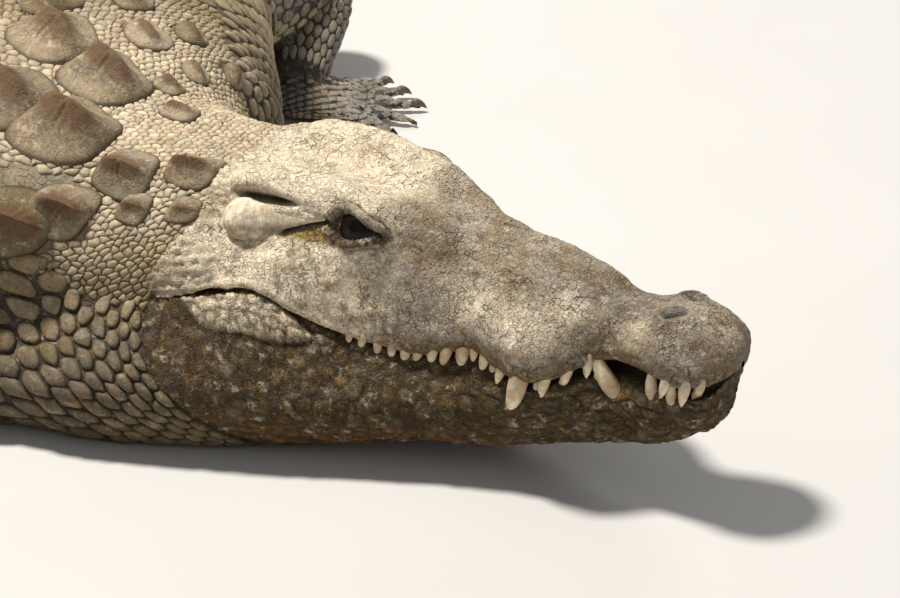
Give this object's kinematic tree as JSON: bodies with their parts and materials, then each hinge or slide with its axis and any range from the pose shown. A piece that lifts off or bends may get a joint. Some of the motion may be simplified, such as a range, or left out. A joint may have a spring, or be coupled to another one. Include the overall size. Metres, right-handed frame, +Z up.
{
  "type": "nile crocodile",
  "caption": "Life-size Nile crocodile at rest on its belly, its head turned to its left, mouth closed with the teeth showing.",
  "frame": {"origin": "middle of the model's footprint, at the level of the flats that it rests on", "axes": "+Z up; the trunk faces -Y and the tail runs towards +Y; the animal's left is +X and its head turns that way"},
  "size_m": [0.9388, 2.706, 0.2822],
  "materials": {
    "hide": "dry, cracked and keeled scales, sandy tan over grey-brown",
    "eye": "wet gloss",
    "ivory": "satin, stained at the root"
  },
  "bodies": {
    "root": {"arm_upper_left": "hide", "arm_upper_right": "hide", "ear_left": "hide", "ear_right": "hide", "eye_left": "eye", "eye_right": "eye", "foot_left": "hide", "foot_right": "hide", "forearm_left": "hide", "forearm_right": "hide", "hand_left": "hide", "hand_right": "hide", "head": "hide", "lower_jaw": "hide", "neck": "hide", "shank_left": "hide", "shank_right": "hide", "tail_base": "hide", "tail_end": "hide", "tail_middle": "hide", "tail_tip": "hide", "thigh_left": "hide", "thigh_right": "hide", "trunk_belly": "hide", "trunk_chest": "hide", "trunk_hips": "hide"}
  },
  "joints": []
}
